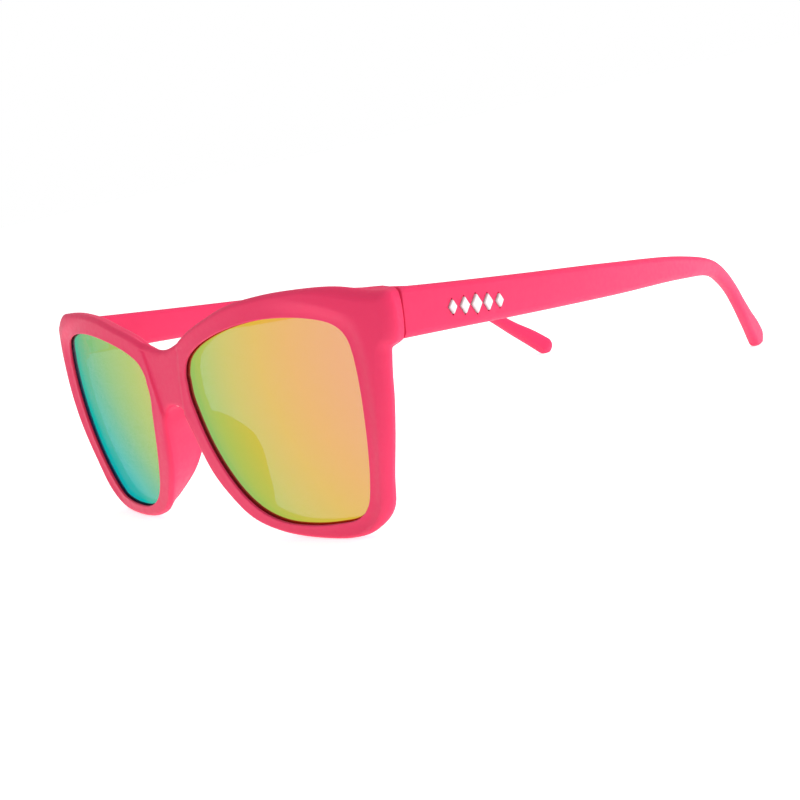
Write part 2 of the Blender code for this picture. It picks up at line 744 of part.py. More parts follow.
def temple_and_hinge_empties(word, side, parent):
    """Two empties on the hinge pin: one has its Y along the temple, the other its Z along the pin."""
    y = SEAM_Y + PIVOT_BEHIND_SEAM * math.cos(TEMPLE_DROP)
    z = HINGE_Z - PIVOT_BEHIND_SEAM * math.sin(TEMPLE_DROP)
    place = (side * PIVOT_X, y, z)
    temple_root = empty_at(f"temple_root_{word}", place, parent, (-TEMPLE_DROP, 0.0, 0.0))
    cant = (0.0, -side * HINGE_CANT, 0.0)
    return temple_root, empty_at(f"hinge_axis_{word}", (0, 0, 0), temple_root, cant)


def cut(obj, low, high, name, parent, helpers):
    """Cuts a box out of the object, given in its parent's frame."""
    cutter = add_object(name, mesh_of(name, box_bmesh(low, high)), None, parent, helpers)
    boolean(obj, cutter, "DIFFERENCE", name)


def level_on_table(obj, helpers):
    """Cuts the object flat at the table plane."""
    cutter = bpy.data.objects.get("table_plane")
    if cutter is None:
        bm = box_bmesh((-100, -50, TABLE_Z - 20), (100, 200, TABLE_Z))
        cutter = add_object("table_plane", mesh_of("table_plane", bm), None, None, helpers)
    boolean(obj, cutter, "DIFFERENCE", "table")


def cut_front_for_hinge(front, side, hinge, helpers):
    """The pocket for the leaf's plate and the hole for its anchor, on one side of the front."""
    half = hinge_half_height() + LEAF_GAP
    low_x, high_x = (x - PIVOT_X for x in FRONT_LEAF_X)
    across = sorted((side * (low_x - LEAF_GAP), side * (high_x + LEAF_GAP)))
    floor = -PIVOT_BEHIND_SEAM - 0.1 - LEAF_THICKNESS - LEAF_GAP
    low = (across[0], floor, -half)
    high = (across[1], 0.0, half)
    cut(front, low, high, f"leaf_pocket_{side}", hinge, helpers)
    place = (side * (low_x + high_x) / 2, 0.0)
    radius = ANCHOR_RADIUS + LEAF_GAP
    hole = cylinder_bmesh(radius, floor - ANCHOR_LENGTH, floor + 0.5, place, "Y", 16)
    name = f"anchor_hole_{side}"
    cutter = add_object(name, mesh_of(name, hole), None, hinge, helpers)
    boolean(front, cutter, "DIFFERENCE", name)


def cut_temple_for_hinge(temple, hinge, helpers):
    """The open-ended pocket for the temple leaf and the hole for its anchor."""
    half = hinge_half_height() + LEAF_GAP
    inner = temple_outer_x(0.0) - TEMPLE_STATIONS[0][3] - PIVOT_X
    floor_x = inner + 0.2 + LEAF_GAP
    end = TEMPLE_LEAF_END - PIVOT_BEHIND_SEAM + LEAF_GAP
    cut(temple, (inner - 4, -4, -half), (floor_x, end, half), "temple_pocket", hinge, helpers)
    start = BARREL_RADIUS + 0.25
    middle = (start + TEMPLE_LEAF_END - PIVOT_BEHIND_SEAM) / 2 + 0.8
    radius = ANCHOR_RADIUS + LEAF_GAP
    hole = cylinder_bmesh(radius, floor_x - 0.5, floor_x + ANCHOR_LENGTH, (middle, 0.0), "X", 16)
    cutter = add_object("temple_anchor_hole", mesh_of("temple_anchor_hole", hole), None, hinge, helpers)
    boolean(temple, cutter, "DIFFERENCE", "anchor_hole")


def make_pins(temple, material, root, collection, helpers):
    """The lozenge pins of one temple, and their pockets in it."""
    pins = []
    for number, (behind, share) in enumerate(pin_places(), start=1):
        pocket = pin_bmesh(behind, share, PIN_GAP, -PIN_SUNK - PIN_GAP, 1.0)
        name = f"pin_pocket_{number}"
        cutter = add_object(name, mesh_of(name, pocket), None, root, helpers)
        boolean(temple, cutter, "DIFFERENCE", name)
        bm = pin_bmesh(behind, share, 0.0, -PIN_SUNK, PIN_PROUD)
        name = f"accent_pin_left_{number}"
        pin = add_object(name, mesh_of(name, bm), material, root, collection)
        bevel = pin.modifiers.new("soft_edges", "BEVEL")
        bevel.width = 0.2 * MM
        bevel.segments = 2
        pins.append(pin)
    return pins


def clear_scene():
    for obj in list(bpy.data.objects):
        bpy.data.objects.remove(obj)


def main():
    clear_scene()
    parts = bpy.data.collections.new("cat_eye_sunglasses")
    helpers = bpy.data.collections.new("cutters")
    helpers.hide_render = True
    for collection in (parts, helpers):
        bpy.context.scene.collection.children.link(collection)

    plastic = make_material("pink_plastic", PINK, 0.45)
    mirror_lens = make_material("mirror_lens", LENS_GOLD, 0.08, 0.6)
    steel = make_material("hinge_steel", STEEL, 0.3, 1.0)
    white = make_material("white_accent", WHITE, 0.4)

    datum = empty_at("datum", (0, 0, 0), turn=(REST_LEAN, 0.0, 0.0))
    design = empty_at("design", (0, -BRIDGE_FACE_Y, -BRIDGE_FACE_Z), datum)
    left_root, left_hinge = temple_and_hinge_empties("left", 1, design)
    right_root, right_hinge = temple_and_hinge_empties("right", -1, design)

    front = make_front(plastic, design, parts)
    for side, hinge in ((1, left_hinge), (-1, right_hinge)):
        cut_front_for_hinge(front, side, hinge, helpers)
    level_on_table(front, helpers)

    for name, side in (("lens_left", 1), ("lens_right", -1)):
        add_object(name, lens_mesh(name, side, OPEN_STEPS), mirror_lens, design, parts)

    temple = add_object("temple_left", temple_mesh("temple_left"), plastic, left_root, parts)
    cut_temple_for_hinge(temple, left_hinge, helpers)
    pins = make_pins(temple, white, left_root, parts, helpers)
    level_on_table(temple, helpers)
    hardware = [make(steel, left_hinge, parts, helpers) for make in (front_leaf, temple_leaf, screw)]

    for pieces, right_parent in (([temple] + pins, right_root), (hardware, right_hinge)):
        for piece in pieces:
            freeze(piece)
            mirrored(piece, piece.name.replace("left", "right"), right_parent, parts)

    for helper in helpers.objects:
        helper.hide_render = True
        helper.display_type = "WIRE"


main()
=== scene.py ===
"""Looks of the cat-eye sunglasses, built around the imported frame.

The front, the lenses and the temples are built here again with finer surfaces than the CAD solids,
from the same design sizes. The hinge leaves, the screws and the accent pins keep their CAD meshes.
Design sizes are in millimetres: +X to the wearer's left, +Y towards the temple tips, +Z up.
"""

import math

import bmesh
import bpy
import numpy as np
from mathutils import Euler, Matrix, Vector


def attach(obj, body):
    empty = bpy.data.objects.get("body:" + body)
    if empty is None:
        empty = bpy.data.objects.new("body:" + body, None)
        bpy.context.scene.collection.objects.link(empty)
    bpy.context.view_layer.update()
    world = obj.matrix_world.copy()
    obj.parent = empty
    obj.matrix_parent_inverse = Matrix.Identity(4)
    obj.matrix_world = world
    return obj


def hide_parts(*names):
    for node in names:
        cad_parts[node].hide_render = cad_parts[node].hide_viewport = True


MM = 0.001

# The front: a bowed sheet, seen from the front as two openings joined by a bridge.
RIM_THICKNESS = 4.2
WALL_DEPTH = 3.8
BACK_RADIUS = 1.9
BOW_SLOPE = 0.1737
BOW_CURVE = 0.004825
BOW_HEIGHT_CURVE = 0.0045
BOW_FLAT_HALF = 7.0
NOSE_CROWN = 0.35
TEMPLE_CROWN = 1.45
CROWN_WIDTH = 4.5
LIP_LAND = 0.3

# The bridge face: a flat panel sunk between the two rims, wider at its top.
BRIDGE_FACE_Y = -0.25
BRIDGE_FACE_Z = 9.6
BRIDGE_FACE_TILT = math.radians(3.7)
PANEL_HALF_BOTTOM = 5.0
PANEL_HALF_TOP = 7.4
PANEL_EDGE = 0.25

# The lens groove, and the lens that sits in it with a gap all round.
GROOVE_FRONT = 0.5
GROOVE_BACK = 2.6
GROOVE_REACH = 1.0
LENS_GAP = 0.3

# Nose pads: how deep the nasal wall reaches at each height, from its foot to its top.
PAD_PROFILE = (
    (-23.0, 3.8), (-21.0, 5.1), (-18.5, 7.1), (-15.0, 9.3), (-10.5, 11.3), (-6.0, 11.7),
    (-3.0, 11.1), (-1.0, 10.0), (0.6, 8.4), (2.0, 6.1), (3.2, 3.8),
)
PAD_SPLAY = 0.29
FOOT_SPLAY = 0.12
BRIDGE_TOP_SINK = 1.1
WALL_DRAFT = 0.05

# Anchors of the half front: opening x, opening z, outside x, outside z. They start under the bridge,
# run down the nose side, along the bottom, up the temple side and back along the brow. The last
# ones are the bridge itself, where the outside lies on the mirror plane.
ANCHORS = (
    (9.0, 3.2, 0.0, 3.6),
    (9.8, 0.0, 3.4, 2.6),
    (10.9, -3.6, 5.4, -1.5),
    (12.4, -7.4, 6.9, -6.5),
    (14.4, -11.3, 8.9, -11.6),
    (17.35, -15.7, 12.4, -16.4),
    (21.55, -19.35, 17.4, -21.25),
    (27.6, -21.7, 25.1, -24.05),
    (35.5, -22.4, 35.0, -25.35),
    (43.0, -22.1, 44.8, -25.4),
    (48.6, -21.1, 51.5, -23.85),
    (51.9, -18.45, 56.5, -20.1),
    (54.5, -13.0, 59.2, -13.3),
    (56.6, -5.6, 61.9, -5.6),
    (57.8, 1.6, 63.8, 1.8),
    (58.15, 6.0, 64.6, 6.8),
    (58.2, 8.3, 65.1, 9.8),
    (58.15, 9.9, 65.4, 11.3),
    (58.1, 11.0, 65.9, 12.0),
    (57.95, 12.2, 66.8, 12.5),
    (57.7, 13.6, 67.4, 14.0),
    (57.2, 15.0, 67.4, 19.2),
    (56.15, 16.5, 66.6, 21.6),
    (54.0, 18.0, 62.8, 22.55),
    (49.4, 19.4, 56.0, 24.45),
    (43.0, 20.3, 46.5, 25.15),
    (36.0, 20.45, 36.5, 24.95),
    (28.5, 19.7, 27.5, 23.95),
    (20.95, 18.13, 19.0, 21.7),
    (14.6, 16.0, 12.0, 19.5),
    (10.35, 13.45, 6.0, 17.1),
    (8.6, 10.45, 0.0, 15.9),
    (8.5, 9.7, 0.0, 15.77),
    (8.52, 9.0, 0.0, 15.4),
    (8.42, 8.1, 0.0, 14.9),
    (8.35, 6.8, 0.0, 9.8),
    (8.45, 5.4, 0.0, 4.6),
    (8.6, 4.6, 0.0, 4.1),
    (8.78, 3.9, 0.0, 3.73),
)
FIRST_ON_PLANE = 31
UNDER_BRIDGE_Z = ANCHORS[0][3]
OVER_BRIDGE_Z = ANCHORS[FIRST_ON_PLANE][3]

# The hinge: its pin is behind the seam and inside the temple's inner face.
TEMPLE_DROP = math.radians(10.2)
HINGE_CANT = math.radians(4.0)
SEAM_Y = 13.6
HINGE_Z = 17.0
PIVOT_X = 61.3
PIVOT_BEHIND_SEAM = 1.9
SEAM_GAP = 0.25
SEAM_EDGE = 0.15
HINGE_HALF_HEIGHT = 3.8
LEAF_THICKNESS = 0.8
LEAF_GAP = 0.3
FRONT_LEAF_X = (59.9, 62.8)
TEMPLE_LEAF_END = 7.4

# The temple: distance behind the seam, height of its centre line, its height and its thickness.
TEMPLE_STATIONS = (
    (0.0, 0.2, 9.6, 4.2),
    (11.0, 0.3, 8.95, 4.1),
    (31.0, 0.5, 8.1, 3.8),
    (61.0, 0.85, 6.95, 3.5),
    (91.0, 0.95, 5.25, 3.3),
    (108.6, -0.35, 3.85, 3.2),
    (116.0, -3.1, 3.5, 3.2),
    (121.8, -6.5, 3.25, 3.2),
    (126.8, -10.3, 3.35, 3.2),
    (131.6, -13.95, 3.95, 3.2),
    (136.4, -17.3, 4.85, 3.2),
    (140.0, -20.1, 5.2, 3.2),
)
TEMPLE_OUTER_X = 67.3
TEMPLE_TIP_INWARD = 26.6
TEMPLE_BOW = 36.0
TEMPLE_EDGE_RADIUS = 1.35

# The accent on each temple: a row of lozenge pins, largest in the middle.
PIN_COUNT = 5
PIN_PITCH = 3.0
PIN_ROW_CENTRE = 17.6
PIN_HALF_WIDTH = 1.25
PIN_HALF_HEIGHT = 1.9
PIN_SHRINK = 0.13
PIN_SUNK = 1.3
PIN_GAP = 0.22

# How the object stands: leaning on both rims and both temple tips.
REST_LEAN = math.radians(1.8)
TABLE_Z = -34.92

# How fine the surfaces are: steps between anchors, and turns of each rounded edge in degrees.
RIM_STEPS = 6
FRONT_TURNS = (12, 24, 36, 48, 60, 72, 81, 90)
BACK_TURNS = (0, 12, 24, 36, 48, 60, 75)
WALL_STEPS = 6
BACK_STEPS = 8
LENS_RINGS = 22
TEMPLE_STEPS = 7
TIP_STEPS = 12
CORNER_STEPS = 7
PAD_CURVE_STEPS = 6
FACE_PIECES = (4, 3, 3, 4)
STEEL_BEVEL = 0.08
WELD_DISTANCE = 0.001
LIP_TURNS = (0, 22, 45, 67)

# The coloured mirror: how much the surface turns away (0 facing, 1 edge on), and the screen colour
# that it then has in front of the white studio.
LENS_COLOURS = (
    (0.19, (237, 176, 124)),
    (0.27, (234, 183, 110)),
    (0.34, (226, 191, 101)),
    (0.43, (208, 198, 108)),
    (0.52, (180, 201, 119)),
    (0.61, (156, 199, 136)),
    (0.70, (128, 195, 158)),
    (0.79, (108, 195, 176)),
    (0.89, (74, 189, 185)),
    (0.98, (66, 180, 190)),
)
# The light that gets through the whole lens, and through its smoke-tinted back alone.
LENS_PASSES = (0.075, 0.045, 0.09)
LENS_TINT = 0.6
# The coating is thicker towards the bottom of a lens. It shows where the lens is seen from the side.
COATING_MIDDLE = 0.005
COATING_SLOPE = -6.0

# The studio: how bright its white is in the lens mirrors, how much it lights the object, and how
# much the floor gives of its own.
STUDIO_GLOSS = 0.75
STUDIO_DIFFUSE = 0.56
FLOOR_GLOW = 0.62
FLOOR_SIZE = 30000
FLOOR_CENTRE_Y = 60
KEY_LIGHT = (0.38, 0.5, 0.08)
KEY_AIM = (0.05, 0.04, 0.0)
KEY_SIZE = 0.5
KEY_POWER = 2.6
TOP_LIGHT = (0.05, 0.25, 0.7)
TOP_AIM = (0.0, 0.03, 0.0)
TOP_SIZE = 0.6
TOP_POWER = 1.2

CAMERA_PLACE = (0.26525, -0.14461, 0.03981)
CAMERA_TURN = (79.117, 13.077, 49.817)
CAMERA_LENS = 63.0
CAMERA_SENSOR = 36.0


# ---------------------------------------------------------------- small helpers


def smooth_step(value, start, end):
    """0 before start, 1 after end, and a smooth rise between them."""
    share = np.clip((value - start) / (end - start), 0.0, 1.0)
    return share * share * (3.0 - 2.0 * share)


def fillet_drop(distance, radius):
    """How far a rounded edge falls below its face at this distance from the edge."""
    inside = radius - np.clip(distance, 0.0, radius)
    return radius - np.sqrt(radius * radius - inside * inside)


def catmull_point(points, share):
    """A point between the middle two of four, on the centripetal Catmull-Rom curve."""
    knots = [0.0]
    for first, second in zip(points[:-1], points[1:]):
        knots.append(knots[-1] + math.sqrt(np.linalg.norm(second - first)))
    at = knots[1] + share * (knots[2] - knots[1])

    def mix(left, right, knot_left, knot_right):
        return ((knot_right - at) * left + (at - knot_left) * right) / (knot_right - knot_left)

    first = mix(points[0], points[1], knots[0], knots[1])
    second = mix(points[1], points[2], knots[1], knots[2])
    third = mix(points[2], points[3], knots[2], knots[3])
    lower = mix(first, second, knots[0], knots[2])
    upper = mix(second, third, knots[1], knots[3])
    return mix(lower, upper, knots[1], knots[2])


def curve_through(points, steps):
    """An open curve through the points, with this many steps between each pair."""
    points = np.asarray(points, float)
    before = 2 * points[0] - points[1]
    after = 2 * points[-1] - points[-2]
    padded = np.vstack([before, points, after])
    out = []
    for span in range(len(points) - 1):
        four = padded[span:span + 4]
        out += [catmull_point(four, step / steps) for step in range(steps)]
    out.append(points[-1])
    return np.array(out)


def finish_mesh(name, bm, matrix, sharp_angle=40):
    """Places a bmesh in millimetres by the matrix, and makes a smooth-shaded object of it in metres."""
    bm.transform(Matrix.Scale(MM, 4) @ matrix)
    mesh = bpy.data.meshes.new(name)
    bm.to_mesh(mesh)
    bm.free()
    mesh.shade_smooth()
    mesh.set_sharp_from_angle(angle=math.radians(sharp_angle))
    obj = bpy.data.objects.new(name, mesh)
    bpy.context.scene.collection.objects.link(obj)
    return obj


def apply_modifiers(obj, sharp_angle=40):
    """Replaces the object's mesh by what its modifiers make of it."""
    bpy.context.view_layer.update()
    graph = bpy.context.evaluated_depsgraph_get()
    mesh = bpy.data.meshes.new_from_object(obj.evaluated_get(graph))
    mesh.name = obj.name
    obj.modifiers.clear()
    obj.data = mesh
    mesh.shade_smooth()
    mesh.set_sharp_from_angle(angle=math.radians(sharp_angle))


def cut_away(obj, cutter):
    """Cuts the cutter out of the object and removes the cutter."""
    modifier = obj.modifiers.new("cut", "BOOLEAN")
    modifier.operation = "DIFFERENCE"
    modifier.object = cutter
    modifier.solver = "EXACT"
    apply_modifiers(obj)
    bpy.data.objects.remove(cutter)


def box_into(bm, low, high):
    """Adds a box between two corners."""
    low, high = Vector(low), Vector(high)
    made = bmesh.ops.create_cube(bm, size=1.0)["verts"]
    bmesh.ops.scale(bm, vec=high - low, verts=made)
    bmesh.ops.translate(bm, vec=(low + high) / 2, verts=made)
    return made


def mirrored(obj, name):
    """The wearer's right piece: the left one's finished mesh, turned over the symmetry plane."""
    mesh = obj.data.copy()
    mesh.name = name
    mesh.transform(Matrix.Diagonal((-1, 1, 1, 1)))
    mesh.flip_normals()
    twin = bpy.data.objects.new(name, mesh)
    bpy.context.scene.collection.objects.link(twin)
    return twin


# ---------------------------------------------------------------- the front


def lens_surface(x, z):
    """Y of the bowed sheet that carries a lens: each half bows round its own eye."""
    across = np.maximum(np.abs(x), BOW_FLAT_HALF)
    return BOW_CURVE * across * across - BOW_SLOPE * across + BOW_HEIGHT_CURVE * z * z


def panel_half_width(z):
    """Half the width of the bridge panel at this height."""
    share = (z - UNDER_BRIDGE_Z) / (OVER_BRIDGE_Z - UNDER_BRIDGE_Z)
    return PANEL_HALF_BOTTOM + share * (PANEL_HALF_TOP - PANEL_HALF_BOTTOM)


def front_face(x, z, from_opening):
    """Y of the front face: the rim stands proud of the lens sheet, and the bridge panel is sunk flat."""
    crown = NOSE_CROWN + (TEMPLE_CROWN - NOSE_CROWN) * smooth_step(x, 38.0, 56.0)
    rim = lens_surface(x, z) - crown * smooth_step(from_opening, 0.3, CROWN_WIDTH)
    panel = BRIDGE_FACE_Y + (z - BRIDGE_FACE_Z) * math.tan(BRIDGE_FACE_TILT)
    in_panel = smooth_step(panel_half_width(z) - np.abs(x), -PANEL_EDGE, PANEL_EDGE)
    return rim + in_panel * (panel - rim)


def seam_plane(z):
    """Y of the plane where each temple closes against the front."""
    return SEAM_Y + (z - HINGE_Z) * math.tan(TEMPLE_DROP)


def end_piece_share(x, z):
    """1 where the back of the front is the flat seam face, 0 on the plain rim."""
    above_hinge = np.maximum(z - 21.0, 0.0)
    start = 57.8 + 0.3 * above_hinge
    return smooth_step(x, start, start + 1.4 + 2.5 * above_hinge) * smooth_step(z, 11.5, 12.1)


def half_outlines(steps):
    """Matching points of the opening and of the outside, and which stations lie on the mirror plane."""
    anchors = np.array(ANCHORS)
    opening, outside = anchors[:, :2], anchors[:, 2:]
    count = len(anchors)
    across = outside[[1, FIRST_ON_PLANE - 1]] * (-1, 1)
    rim = np.vstack([across[:1], outside[:FIRST_ON_PLANE + 1], across[1:]])
    inner, outer, on_plane = [], [], []
    for span in range(count):
        bridge = span >= FIRST_ON_PLANE
        four = opening[[(span + k) % count for k in (-1, 0, 1, 2)]]
        span_steps = max(steps // 2, 1) if bridge else steps
        for step in range(span_steps):
            share = step / span_steps
            inner.append(catmull_point(four, share))
            if bridge:
                start, end = outside[span], outside[(span + 1) % count]
                outer.append(start + share * (end - start))
            else:
                outer.append(catmull_point(rim[span:span + 4], share))
            on_plane.append(bridge or span + step == 0)
    return np.array(inner), np.array(outer), np.array(on_plane)


def outline_normals(points):
    """Unit normals that point out of a closed outline which runs clockwise round its opening."""
    along = np.roll(points, -1, axis=0) - np.roll(points, 1, axis=0)
    normals = np.stack([along[:, 1], -along[:, 0]], axis=1)
    return normals / np.linalg.norm(normals, axis=1)[:, None]


def distance_to(points, contour):
    """Shortest distance from each point to a polyline."""
    start, end = contour[:-1], contour[1:]
    along = end - start
    length2 = np.maximum((along ** 2).sum(1), 1e-12)
    to_point = points[:, None, :] - start[None]
    share = np.clip((to_point * along).sum(2) / length2, 0, 1)
    nearest = start + share[..., None] * along
    return np.linalg.norm(points[:, None, :] - nearest, axis=2).min(1)


def whole_contour(half):
    """The half outline from under the bridge to its top, with its mirror image, as one polyline."""
    return np.vstack([half, half[::-1] * (-1, 1), half[:1]])


def panel_edge_places(inner, outer, width, edge_radius):
    """How far from the opening each station meets the side edge of the bridge panel."""
    slope = (PANEL_HALF_TOP - PANEL_HALF_BOTTOM) / (OVER_BRIDGE_Z - UNDER_BRIDGE_Z)
    run = outer - inner
    share = (panel_half_width(inner[:, 1]) - inner[:, 0]) / (run[:, 0] - slope * run[:, 1])
    in_bridge = (outer[:, 0] < panel_half_width(outer[:, 1])) & (outer[:, 1] > 1.5)
    share = np.where(in_bridge, share, 0.55)
    furthest = width - edge_radius - 2 * PANEL_EDGE
    return np.minimum(share * width, furthest), in_bridge


def front_rows(steps):
    """The half front as an array of stations by rows by three: every row is one line round the rim."""
    inner, outer, on_plane = half_outlines(steps)
    normals = outline_normals(inner)
    last_free = FIRST_ON_PLANE * steps
    count = len(inner)
    edge_radius = 1.0 + 0.9 * smooth_step(outer[:, 0], 50.0, 60.0)
    nose_side = (outer[:, 0] < 24.0) & (outer[:, 1] < 3.2)
    profile = curve_through(PAD_PROFILE, PAD_CURVE_STEPS)
    pad_depth = np.interp(outer[:, 1], profile[:, 0], profile[:, 1])
    wall_depth = np.where(nose_side, pad_depth, WALL_DEPTH)
    splay = WALL_DRAFT + (PAD_SPLAY - WALL_DRAFT) * smooth_step(-outer[:, 1], -1.0, 5.0) * (
        1.0 - smooth_step(outer[:, 0], 20.0, 36.0)
    )
    splay += FOOT_SPLAY * smooth_step(-outer[:, 1], 14.0, 20.0) * (
        1.0 - smooth_step(outer[:, 0], 24.0, 38.0)
    )
    splay = np.where(on_plane, 0.0, splay)
    sink = BRIDGE_TOP_SINK * smooth_step(outer[:, 1], 8.0, 14.0) * (
        1.0 - smooth_step(outer[:, 0], 3.0, 14.0)
    )
    back_radius = BACK_RADIUS - (BACK_RADIUS - SEAM_EDGE) * end_piece_share(outer[:, 0], outer[:, 1])
    width = np.linalg.norm(outer - inner, axis=1)
    outward = (outer - inner) / width[:, None]
    back_outer = outer - outward * (splay * wall_depth)[:, None]
    back_outer[:, 1] -= sink
    back_width = np.linalg.norm(back_outer - inner, axis=1)
    back_radius = np.minimum(back_radius, 0.7 * (back_width - LIP_LAND))
    front_line = whole_contour(outer[:last_free + 1])
    back_line = whole_contour(back_outer[:last_free + 1])

    def at(plan, from_opening, depth):
        y = front_face(plan[:, 0], plan[:, 1], from_opening) + depth
        return np.column_stack([plan[:, 0], y, plan[:, 1]])

    def in_groove(plan, depth):
        y = lens_surface(plan[:, 0], plan[:, 1]) + depth
        return np.column_stack([plan[:, 0], y, plan[:, 1]])

    edge_place, in_bridge = panel_edge_places(inner, outer, width, edge_radius)
    spread = np.where(in_bridge, PANEL_EDGE, 0.16 * width)
    face_end = width - edge_radius
    panel_side = np.minimum(edge_place + spread, face_end - 0.1)
    face_knots = (np.full(count, LIP_LAND), edge_place - spread, edge_place, panel_side, face_end)
    places = [face_knots[0]]
    for first, second, pieces in zip(face_knots[:-1], face_knots[1:], FACE_PIECES):
        places += [first + (second - first) * piece / pieces for piece in range(1, pieces + 1)]
    places += [width - edge_radius * (1 - math.sin(math.radians(turn))) for turn in FRONT_TURNS]
    lip = [math.radians(turn) for turn in LIP_TURNS]
    rows = []
    for turn in lip:
        plan = inner + outward * (LIP_LAND * (1 - math.cos(turn)))
        rows.append(in_groove(plan, LIP_LAND * (1 - math.sin(turn))))
    for place in places:
        plan = inner + outward * np.asarray(place)[:, None]
        rows.append(at(plan, place, fillet_drop(distance_to(plan, front_line), edge_radius)))
    wall_start = len(rows) - 1

    inward = (inner - back_outer) / back_width[:, None]
    back_span = back_width - back_radius - LIP_LAND
    back_places = [back_radius * (1 - math.cos(math.radians(turn))) for turn in BACK_TURNS]
    back_places += [back_radius + back_span * step / BACK_STEPS for step in range(BACK_STEPS + 1)]
    back_rows = []
    for place in back_places:
        plan = back_outer + inward * place[:, None]
        fall = smooth_step(place, back_radius, back_width - LIP_LAND)
        depth = wall_depth + (RIM_THICKNESS - wall_depth) * fall
        drop = fillet_drop(distance_to(plan, back_line), back_radius)
        row = at(plan, back_width - place, depth - drop)
        sheet = in_groove(plan, RIM_THICKNESS - drop)
        row[:, 1] += smooth_step(place, back_radius, back_width) * (sheet[:, 1] - row[:, 1])
        flat = end_piece_share(plan[:, 0], plan[:, 1])
        row[:, 1] += flat * (seam_plane(plan[:, 1]) - drop - row[:, 1])
        back_rows.append(row)
    first, last = rows[wall_start], back_rows[0]
    rows += [first + (last - first) * step / WALL_STEPS for step in range(1, WALL_STEPS)]
    rows += back_rows
    wall_end = wall_start + WALL_STEPS
    for turn in reversed(lip):
        plan = inner + outward * (LIP_LAND * (1 - math.cos(turn)))
        rows.append(in_groove(plan, RIM_THICKNESS - LIP_LAND * (1 - math.sin(turn))))
    groove = inner + normals * GROOVE_REACH
    rows.append(in_groove(inner, GROOVE_BACK))
    rows.append(in_groove(groove, GROOVE_BACK))
    rows.append(in_groove(groove, GROOVE_FRONT))
    rows.append(in_groove(inner, GROOVE_FRONT))
    return np.stack(rows, axis=1), on_plane, (wall_start, wall_end)


def front_mesh(design):
    """Both halves of the front as one closed surface; build_object flattens it where it stands on the
    table.
    """
    grid, on_plane, (wall_start, wall_end) = front_rows(RIM_STEPS)
    stations, rows = grid.shape[:2]
    bm = bmesh.new()
    for side in (1, -1):
        places = grid * (side, 1, 1)
        places[on_plane, wall_start:wall_end + 1, 0] = 0.0
        verts = [[bm.verts.new(places[i, j]) for j in range(rows)] for i in range(stations)]
        for i in range(stations):
            after = (i + 1) % stations
            both_on_plane = on_plane[i] and on_plane[after]
            for j in range(rows):
                below = (j + 1) % rows
                if both_on_plane and wall_start <= j < wall_end:
                    continue
                corners = (verts[i][j], verts[i][below], verts[after][below], verts[after][j])
                bm.faces.new(corners if side > 0 else corners[::-1])
    loose = [v for v in bm.verts if not v.link_faces]
    bmesh.ops.delete(bm, geom=loose, context="VERTS")
    middle = [v for v in bm.verts if abs(v.co.x) < 1e-5]
    bmesh.ops.remove_doubles(bm, verts=middle, dist=1e-4)
    bmesh.ops.recalc_face_normals(bm, faces=bm.faces)
    return finish_mesh("front", bm, design)


def front_hinge_cutter(hinge, side):
    """The pocket for the front leaf's plate."""
    bm = bmesh.new()
    half = HINGE_HALF_HEIGHT + LEAF_GAP
    low_x, high_x = (x - PIVOT_X for x in FRONT_LEAF_X)
    floor = -PIVOT_BEHIND_SEAM - 0.1 - LEAF_THICKNESS - LEAF_GAP
    box_into(bm, (low_x - LEAF_GAP, floor, -half), (high_x + LEAF_GAP, 0.0, half))
    flip = Matrix.Diagonal((side, 1, 1, 1))
    cutter = finish_mesh("front_cutter", bm, flip @ hinge)
    if side < 0:
        cutter.data.flip_normals()
    return cutter


# ---------------------------------------------------------------- the lenses


def lens_mesh(design):
    """A bowed disc. Faces 0, 1 and 2 of its material slots: coated front, plain back and edge."""
    inner, _, _ = half_outlines(RIM_STEPS)
    edge = inner + outline_normals(inner) * (GROOVE_REACH - LENS_GAP)
    middle = edge.mean(0)
    shares = [1 - (ring / LENS_RINGS) ** 1.15 for ring in range(LENS_RINGS)]
    front_depth = GROOVE_FRONT + LENS_GAP
    back_depth = GROOVE_BACK - LENS_GAP
    count = len(edge)
    bm = bmesh.new()

    def sheet(depth, slot, flip):
        rings = []
        for share in shares:
            plan = middle + share * (edge - middle)
            y = lens_surface(plan[:, 0], plan[:, 1]) + depth
            rings.append([bm.verts.new((p[0], q, p[1])) for p, q in zip(plan, y)])
        tip_y = float(lens_surface(middle[0], middle[1])) + depth
        tip = bm.verts.new((middle[0], tip_y, middle[1]))
        faces = []
        for i in range(count):
            after = (i + 1) % count
            for outer, closer in zip(rings[:-1], rings[1:]):
                faces.append((outer[i], outer[after], closer[after], closer[i]))
            faces.append((rings[-1][i], rings[-1][after], tip))
        for corners in faces:
            face = bm.faces.new(corners[::-1] if flip else corners)
            face.material_index = slot
        return rings[0]

    front_ring = sheet(front_depth, 0, False)
    back_ring = sheet(back_depth, 1, True)
    for i in range(count):
        after = (i + 1) % count
        face = bm.faces.new((front_ring[i], back_ring[i], back_ring[after], front_ring[after]))
        face.material_index = 2
    bmesh.ops.recalc_face_normals(bm, faces=bm.faces)
    return finish_mesh("mirrored_lens_left", bm, design)


# ---------------------------------------------------------------- the temples


def temple_outer_x(behind):
    """X of the temple's outer face, this far behind the seam: it bows, then closes in to the tip."""
    share = behind / TEMPLE_STATIONS[-1][0]
    return TEMPLE_OUTER_X - TEMPLE_TIP_INWARD * share + TEMPLE_BOW * share * (1 - share)


